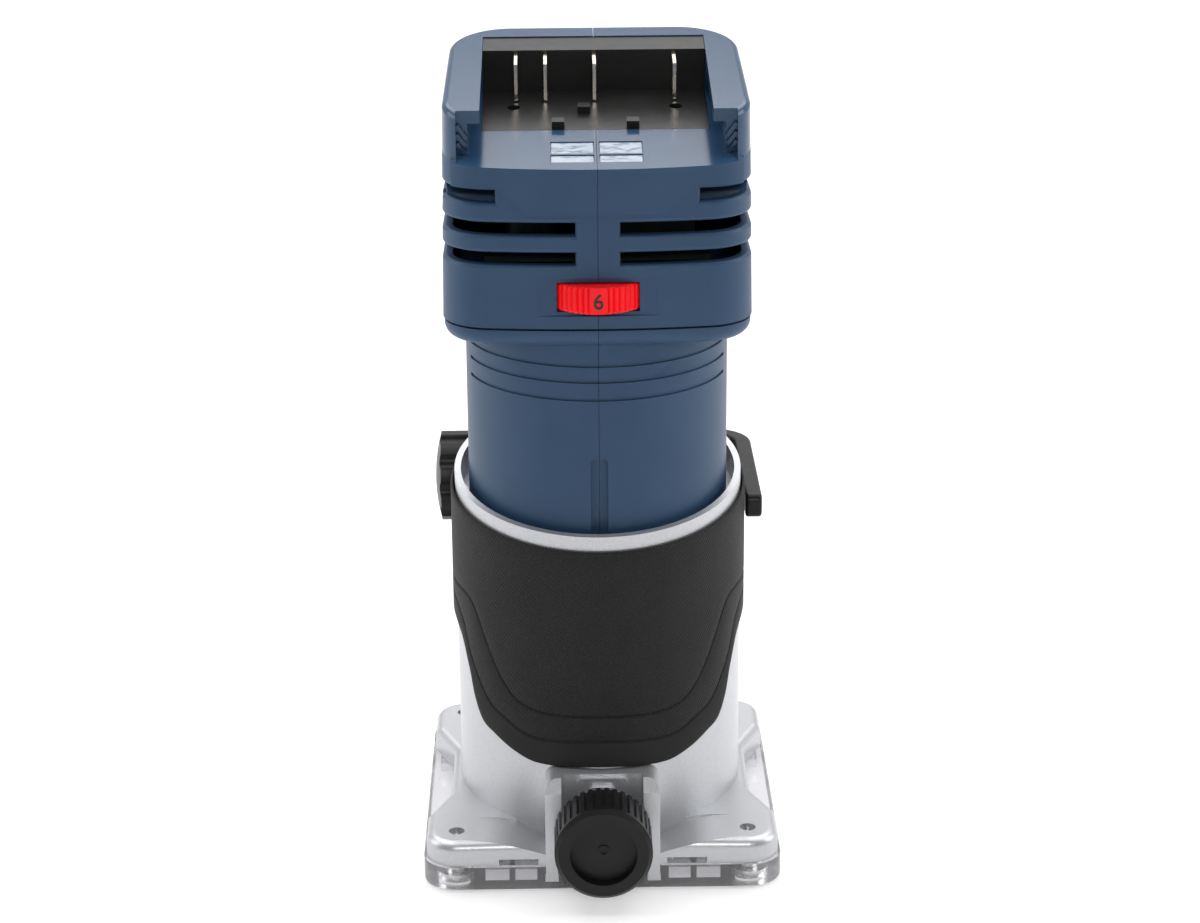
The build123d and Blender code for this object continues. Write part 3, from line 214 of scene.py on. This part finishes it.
# ---- base casting ----------------------------------------------------------------------------
# Die-cast aluminium foot and motor sleeve, sprayed with a satin silver coat. The coat has a
# fine sparkle and a slight orange peel. The end bell under the motor has the same finish.
silver, shader, nodes, links, where = new_material("satin_silver_coat")
shader.inputs["Metallic"].default_value = 0.72
fleck = noise(nodes, links, where, 4200, 3, 0.7)
blend_colours(nodes, links, shader, fleck, (0.40, 0.41, 0.43), (0.60, 0.605, 0.62), 0.3, 0.75)
vary_roughness(nodes, links, shader, noise(nodes, links, where, 700, 3), 0.30, 0.46)
peel = relief(nodes, links, shader, noise(nodes, links, where, 900, 2), 0.00006, 0.35)
relief(nodes, links, shader, fleck, 0.00003, 0.35, peel)
paint(silver, "base_casting", "end_bell")

# ---- grip sleeve ----------------------------------------------------------------------------
# Soft black rubber bonded round the casting, as one sheet wrapped to a cylinder. Two engraved
# lines part a smooth border from a finely cross-hatched field.
MM = 0.001
grip_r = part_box("grip_sleeve")[1].x
grip_wall = 0.5 * MM
rim_slope = 0.17633
rim_middle = 97.3 * MM
bare_rim = 3.5 * MM
grip_top_middle = rim_middle - bare_rim
grip_end = radians(125.0)
grip_columns = 250
# the last stretch at each end sinks into the casting: its angle, and metres per radian
end_taper = 0.008
end_sink = 60 * MM
groove_half = 0.3 * MM
# (degrees from the front, height in mm) of the lower edge and of the two engraved lines
lower_edge = [(0, 29.8), (25.8, 29.6), (35.9, 31.4), (46.7, 34.5), (53.1, 36.5), (58.3, 41.7),
              (62.0, 48.2), (69.8, 56.3), (90, 60), (125, 60)]
outer_line = [(0, 36.7), (21.8, 36.4), (30.8, 37.1), (40.8, 40.1), (46.5, 41.8), (50.2, 43.9),
              (59.8, 52.1), (66.9, 60.6), (80, 65.2), (90, 66), (125, 66)]
inner_line = [(0, 43.6), (20.8, 43.5), (28.7, 44.3), (35.4, 46.2), (42.6, 51.2), (49.5, 58.5),
              (56.6, 66.1), (62.3, 68.7), (79.7, 69.3), (125, 69.3)]


def height_at(line, angle):
    """Height in metres of a line at an angle, rounded where its stretches meet."""
    angle = min(abs(angle), line[-1][0])
    for before, after in zip(line, line[1:]):
        if angle <= after[0]:
            break
    at = line.index(before)
    span = after[0] - before[0]
    t = (angle - before[0]) / span
    left = line[at - 1] if at else (-after[0], after[1])
    right = line[at + 2] if at + 2 < len(line) else (after[0] + span, after[1])
    slope_in = (after[1] - left[1]) / (after[0] - left[0]) * span
    slope_out = (right[1] - before[1]) / (right[0] - before[0]) * span
    z = ((2 * t ** 3 - 3 * t ** 2 + 1) * before[1] + (t ** 3 - 2 * t ** 2 + t) * slope_in
         + (3 * t ** 2 - 2 * t ** 3) * after[1] + (t ** 3 - t ** 2) * slope_out)
    return z * MM


# rows from the bottom up: (line, offset from it, how far in from the surface), in mm; a
# "span" row's offset is its share of the way from the field's edge to the top
span_low, span_ends = 1.2 * MM, 2.0 * MM
groove = [(-0.75, 0.0), (-0.35, 0.12), (-0.15, 0.5), (0.15, 0.5), (0.35, 0.12), (0.75, 0.0)]
rows = [("low", 0.0, 0.55), ("low", 0.15, 0.2), ("low", 0.5, 0.0), ("low", 1.6, 0.0)]
rows += [("outer", up, inward) for up, inward in groove]
rows += [("inner", up, inward) for up, inward in groove]
rows += [("span", share, 0.0) for share in (0.15, 0.3, 0.45, 0.6, 0.75, 0.9)]
rows += [("top", -0.5, 0.0), ("top", -0.15, 0.2), ("top", 0.0, 0.55)]
grip_form = bmesh.new()
bmesh.ops.create_grid(grip_form, x_segments=grip_columns, y_segments=len(rows) - 1, size=0.5)
uv = grip_form.loops.layers.uv.new("wrap")
for vert in grip_form.verts:
    angle = vert.co.x * 2 * grip_end
    kind, offset, inward = rows[round((vert.co.y + 0.5) * (len(rows) - 1))]
    degrees = angle * 180 / pi
    top = grip_top_middle - rim_slope * grip_r * cos(angle)
    inner = height_at(inner_line, degrees)
    if kind == "low":
        z = height_at(lower_edge, degrees) + offset * MM
    elif kind == "outer":
        z = height_at(outer_line, degrees) + offset * MM
    elif kind == "inner":
        z = inner + offset * MM
    elif kind == "span":
        z = inner + span_low + (top - inner - span_ends) * offset
    else:
        z = top + offset * MM
    from_end = min(grip_end - abs(angle), end_taper)
    radius = grip_r - inward * MM - (end_taper - from_end) * end_sink
    vert.co = (radius * sin(angle), -radius * cos(angle), z)
for face in grip_form.faces:
    face.smooth = True
    middle = face.calc_center_median()
    degrees = asin(max(-1.0, min(1.0, middle.x / grip_r))) * 180 / pi
    if middle.y > 0:
        degrees = 180 - abs(degrees)
    in_field = middle.z > height_at(outer_line, degrees) + groove_half
    face.material_index = 1 if in_field else 0
    for loop in face.loops:
        x, y, z = loop.vert.co
        loop[uv].uv = (atan2(x, -y) * grip_r, z)
bmesh.ops.recalc_face_normals(grip_form, faces=grip_form.faces)
if sum(face.normal.dot(Vector((*face.calc_center_median().xy, 0))) for face in grip_form.faces) < 0:
    bmesh.ops.reverse_faces(grip_form, faces=grip_form.faces)
bmesh.ops.solidify(grip_form, geom=grip_form.faces, thickness=grip_wall)
grip_mesh = bpy.data.meshes.new("rubber_grip")
grip_form.to_mesh(grip_mesh)
grip_form.free()
grip = bpy.data.objects.new("rubber_grip", grip_mesh)
bpy.context.scene.collection.objects.link(grip)


hatch_turn = radians(38)
hatch_depth = 0.12 * MM


def rubber(name, hatch):
    """Matte rubber. Above zero, hatch adds crossed ridges 0.314 / hatch metres apart."""
    material, shader, nodes, links, where = new_material(name)
    blend_colours(nodes, links, shader, noise(nodes, links, where, 90, 4), (0.009, 0.008, 0.009),
                  (0.016, 0.015, 0.016))
    shader.inputs["Specular IOR Level"].default_value = 0.22
    vary_roughness(nodes, links, shader, noise(nodes, links, where, 1500), 0.55, 0.72)
    under = relief(nodes, links, shader, noise(nodes, links, where, 6000), 0.00003, 0.5)
    if hatch:
        wrap = nodes.new("ShaderNodeUVMap")
        wrap.uv_map = "wrap"
        for turn in (hatch_turn, -hatch_turn):
            lay = nodes.new("ShaderNodeMapping")
            lay.inputs["Rotation"].default_value = (0, 0, turn)
            links.new(wrap.outputs["UV"], lay.inputs["Vector"])
            ridges = nodes.new("ShaderNodeTexWave")
            ridges.inputs["Scale"].default_value = hatch
            links.new(lay.outputs["Vector"], ridges.inputs["Vector"])
            under = relief(nodes, links, shader, ridges.outputs["Fac"], hatch_depth, 0.6, under)
    return material


grip_mesh.materials.append(rubber("grip_border", 0))
grip_mesh.materials.append(rubber("grip_field", 420.0))
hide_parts("grip_sleeve")
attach(grip, "base")

# ---- black knobs and lever -----------------------------------------------------------------
# The fluted guide knob, the scalloped depth knob and the clamp lever: glass-filled nylon,
# nearly black, with a satin skin. The fan and the black pieces inside share it.


def moulded(name, low, high, rough):
    """Moulded plastic with a spark-eroded grain and slight changes of tone."""
    material, shader, nodes, links, where = new_material(name)
    blend_colours(nodes, links, shader, noise(nodes, links, where, 55, 4), low, high, 0.3, 0.7)
    vary_roughness(nodes, links, shader, noise(nodes, links, where, 300, 3), *rough)
    relief(nodes, links, shader, noise(nodes, links, where, 3200, 1.5), 0.04 * MM, 0.5)
    shader.inputs["Specular IOR Level"].default_value = 0.22
    return material


black_nylon = moulded("black_nylon", (0.004, 0.004, 0.0045), (0.008, 0.008, 0.009), (0.30, 0.46))
paint(black_nylon, "guide_knob", "depth_knob", "clamp_lever", "bearing_plate", "fan", "dial_potentiometer",
      "switch_module")

# ---- depth drive -----------------------------------------------------------------------------
# Pinion, its shaft and the rack on the barrel: machined steel with an oiled dark surface, and
# a brass bush in the casting. Spindle, collet, bearings and motor cores have the same steel.
oiled, shader, nodes, links, where = new_material("oiled_steel")
shader.inputs["Metallic"].default_value = 1.0
oil_tone = noise(nodes, links, where, 300, 4)
blend_colours(nodes, links, shader, oil_tone, (0.16, 0.16, 0.165), (0.34, 0.33, 0.32))
vary_roughness(nodes, links, shader, noise(nodes, links, where, 1200), 0.25, 0.45)
relief(nodes, links, shader, noise(nodes, links, where, 4000), 0.00002, 0.5)
paint(oiled, "depth_pinion", "pinion_shaft", "depth_rack", "collet", "collet_nut", "spindle", "rotor_core",
      "rotor_magnets", "stator_core", "lower_bearing", "upper_bearing", "shell_screws")

brass, shader, nodes, links, where = new_material("turned_brass")
shader.inputs["Metallic"].default_value = 1.0
brass_tone = noise(nodes, links, where, 300)
blend_colours(nodes, links, shader, brass_tone, (0.60, 0.42, 0.16), (0.80, 0.60, 0.28))
vary_roughness(nodes, links, shader, noise(nodes, links, where, 1500), 0.2, 0.4)
paint(brass, "pinion_bush")

# ---- windings and board ------------------------------------------------------------------------
# Enamelled copper coils, and the green electronics board that carries the dial's
# potentiometer.
copper, shader, nodes, links, where = new_material("enamelled_copper")
shader.inputs["Metallic"].default_value = 0.9
shader.inputs["Roughness"].default_value = 0.3
strands = nodes.new("ShaderNodeTexWave")
strands.inputs["Scale"].default_value = 250.0
links.new(where, strands.inputs["Vector"])
blend_colours(nodes, links, shader, strands.outputs["Fac"], (0.30, 0.10, 0.04), (0.75, 0.34, 0.16))
relief(nodes, links, shader, strands.outputs["Fac"], 0.0002, 0.6)
paint(copper, "stator_windings")

board_green = moulded("solder_mask", (0.002, 0.008, 0.005), (0.004, 0.014, 0.008), (0.35, 0.5))
paint(board_green, "control_board")

# ---- blue housing --------------------------------------------------------------------------------
# Barrel and head halves, moulded in dark blue glass-filled nylon with a spark-eroded grain.
# The battery foot is polished, so that the pack slides in.
foot_front = Vector((0.0, -0.0381, 0.1827))
foot_tilt = radians(10.0)
matt, glossy = 0.46, 0.14


def housing(name):
    """Blue nylon that turns glossy on and above the battery floor."""
    material, shader, nodes, links, where = new_material(name)
    tone = noise(nodes, links, where, 45, 5, 0.6)
    blend_colours(nodes, links, shader, tone, (0.018, 0.050, 0.105), (0.024, 0.060, 0.122), 0.3, 0.7)
    shader.inputs["Specular IOR Level"].default_value = 0.3
    rise = nodes.new("ShaderNodeVectorMath")
    rise.operation = "DOT_PRODUCT"
    rise.inputs[1].default_value = (0.0, -sin(foot_tilt), cos(foot_tilt))
    links.new(where, rise.inputs[0])
    floor_level = -foot_front.y * sin(foot_tilt) + foot_front.z * cos(foot_tilt)
    polish = nodes.new("ShaderNodeMapRange")
    polish.inputs["From Min"].default_value = floor_level - 0.6 * MM
    polish.inputs["From Max"].default_value = floor_level - 0.1 * MM
    links.new(rise.outputs["Value"], polish.inputs["Value"])
    rough = nodes.new("ShaderNodeMapRange")
    rough.inputs["To Min"].default_value = matt
    rough.inputs["To Max"].default_value = glossy
    links.new(polish.outputs["Result"], rough.inputs["Value"])
    links.new(rough.outputs["Result"], shader.inputs["Roughness"])
    relief(nodes, links, shader, noise(nodes, links, where, 3000, 1.5), 0.00004, 0.4)
    return material


blue_nylon = housing("blue_nylon")
paint(blue_nylon, "motor_shell_left", "motor_shell_right", "upper_shell_left", "upper_shell_right")

# ---- latch pads ---------------------------------------------------------------------------------
# Four polished pads in the battery floor, each side of the seam, where the pack's latch runs.
# They are moulded with the housing and mirror the light above. Their base colour is painted lighter than
# the housing's blue, as a painted reflection.
pad_blue_painted_reflection, shader, nodes, links, where = new_material("polished_pad_painted_reflection")
pad_painted_reflection_tone = noise(nodes, links, where, 260)
# painted reflection: a lighter blue-grey than the housing's own nylon, standing in for the light the
# polish mirrors
blend_colours(nodes, links, shader, pad_painted_reflection_tone, (0.05, 0.10, 0.17), (0.16, 0.22, 0.30))
vary_roughness(nodes, links, shader, noise(nodes, links, where, 500), 0.03, 0.09)
shader.inputs["Specular IOR Level"].default_value = 1.0
relief(nodes, links, shader, noise(nodes, links, where, 350), 0.00006, 0.5)
# lowest and highest: across, from the seam; and up the floor, from its front edge
pad_inner, pad_outer = 0.8 * MM, 10.7 * MM
pad_rows = ((4.7 * MM, 8.8 * MM), (10.0 * MM, 16.8 * MM))
pad_thick = 0.2 * MM
pad_depth = 0.29 * MM
pad_form = bmesh.new()
for side in (-1, 1):
    for row_low, row_high in pad_rows:
        pad = bmesh.ops.create_cube(pad_form, size=1.0)["verts"]
        size = (pad_outer - pad_inner, row_high - row_low, pad_thick)
        middle = (side * (pad_inner + pad_outer) / 2, (row_low + row_high) / 2, -pad_depth)
        bmesh.ops.scale(pad_form, verts=pad, vec=size)
        bmesh.ops.translate(pad_form, verts=pad, vec=middle)
bmesh.ops.rotate(pad_form, verts=pad_form.verts, cent=(0, 0, 0), matrix=Matrix.Rotation(foot_tilt, 3, "X"))
bmesh.ops.translate(pad_form, verts=pad_form.verts, vec=foot_front)
pad_mesh = bpy.data.meshes.new("latch_pads")
pad_form.to_mesh(pad_mesh)
pad_form.free()
pads = bpy.data.objects.new("latch_pads", pad_mesh)
bpy.context.scene.collection.objects.link(pads)
pad_mesh.materials.append(pad_blue_painted_reflection)
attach(pads, "motor_unit")

# ---- terminal block -----------------------------------------------------------------------------
# Black insulator set in the battery foot, satin, with four plated blades in its wall.
blade_metal, shader, nodes, links, where = new_material("plated_blades")
shader.inputs["Metallic"].default_value = 1.0
blade_tone = noise(nodes, links, where, 400, 3)
blend_colours(nodes, links, shader, blade_tone, (0.62, 0.52, 0.38), (0.95, 0.92, 0.86))
vary_roughness(nodes, links, shader, noise(nodes, links, where, 1200), 0.16, 0.32)
paint(blade_metal, "contact_blades")
terminal_black = moulded("terminal_black", (0.008, 0.008, 0.008), (0.018, 0.0175, 0.017), (0.26, 0.42))
paint(terminal_black, "terminal_block")

# ---- speed dial ----------------------------------------------------------------------------------
# Red acetal thumb wheel, fluted between its numbers, which are printed on plain lands. The
# highest number faces the front, and the others follow as the wheel turns about +Z.
dial_red = moulded("dial_red", (0.85, 0.005, 0.010), (0.98, 0.010, 0.018), (0.28, 0.40))
dial_low, dial_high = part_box("speed_dial")
dial_centre = (dial_low + dial_high) / 2
dial_r = (dial_high.x - dial_low.x) / 2
dial_height = dial_high.z - dial_low.z
dial_segments = 576
figure_step = radians(60.0)
figure_land = radians(11.0)
land_sink = 0.1 * MM
flute_step = figure_step / 8
flute_depth = 0.75 * MM
rim_bevel = 0.35 * MM
wheel_form = bmesh.new()
bmesh.ops.create_cone(wheel_form, cap_ends=True, segments=dial_segments, radius1=dial_r,
                      radius2=dial_r, depth=dial_height)
for side in (-1, 1):
    everything = wheel_form.verts[:] + wheel_form.edges[:] + wheel_form.faces[:]
    bmesh.ops.bisect_plane(wheel_form, geom=everything, plane_no=(0, 0, 1),
                           plane_co=(0, 0, side * (dial_height / 2 - rim_bevel)))
for vert in wheel_form.verts:
    turn = atan2(vert.co.x, -vert.co.y)
    from_figure = abs((turn + figure_step / 2) % figure_step - figure_step / 2)
    out = dial_r - land_sink
    if from_figure > figure_land:
        out -= flute_depth * (1 - abs(sin(pi * (from_figure - figure_land) / flute_step)))
    if abs(vert.co.z) > dial_height / 2 - rim_bevel / 2:
        out -= rim_bevel
    vert.co = dial_centre + Vector((out * sin(turn), -out * cos(turn), vert.co.z))
bmesh.ops.recalc_face_normals(wheel_form, faces=wheel_form.faces)
wheel_mesh = bpy.data.meshes.new("dial_wheel")
wheel_form.to_mesh(wheel_mesh)
wheel_form.free()
wheel = bpy.data.objects.new("dial_wheel", wheel_mesh)
bpy.context.scene.collection.objects.link(wheel)
wheel_mesh.materials.append(dial_red)
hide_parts("speed_dial")
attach(wheel, "speed_dial")
ink, shader, nodes, links, where = new_material("dial_ink")
ink_tone = noise(nodes, links, where, 3000)
blend_colours(nodes, links, shader, ink_tone, (0.01, 0.004, 0.004), (0.03, 0.01, 0.01))
shader.inputs["Roughness"].default_value = 0.5
figure_size = 5.2 * MM
figure_swell = 0.06 * MM
ink_thick = 0.05 * MM
ink_proud = 0.03 * MM
for index, figure in enumerate("654321"):
    text = bpy.data.curves.new("figure", "FONT")
    text.body = figure
    text.size = figure_size
    text.offset = figure_swell
    text.align_x = "CENTER"
    text.align_y = "CENTER"
    holder = bpy.data.objects.new("figure", text)
    bpy.context.scene.collection.objects.link(holder)
    bpy.context.view_layer.update()
    evaluated = holder.evaluated_get(bpy.context.evaluated_depsgraph_get())
    figure_mesh = bpy.data.meshes.new_from_object(evaluated)
    bpy.data.objects.remove(holder)
    figure_form = bmesh.new()
    figure_form.from_mesh(figure_mesh)
    bmesh.ops.solidify(figure_form, geom=figure_form.faces, thickness=ink_thick)
    across = [vert.co.x for vert in figure_form.verts]
    upright = [vert.co.y for vert in figure_form.verts]
    middle_x = (min(across) + max(across)) / 2
    middle_y = (min(upright) + max(upright)) / 2
    for vert in figure_form.verts:
        out = dial_r + vert.co.z + ink_proud
        around = (vert.co.x - middle_x) / dial_r - figure_step * index
        vert.co = dial_centre + Vector((out * sin(around), -out * cos(around), vert.co.y - middle_y))
    bmesh.ops.recalc_face_normals(figure_form, faces=figure_form.faces)
    figure_form.to_mesh(figure_mesh)
    figure_form.free()
    number = bpy.data.objects.new("dial_figure_" + figure, figure_mesh)
    bpy.context.scene.collection.objects.link(number)
    figure_mesh.materials.clear()
    figure_mesh.materials.append(ink)
    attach(number, "speed_dial")

# ---- power switch --------------------------------------------------------------------------------
# Red slider on the leaning back of the head.
paint(dial_red, "switch_button")
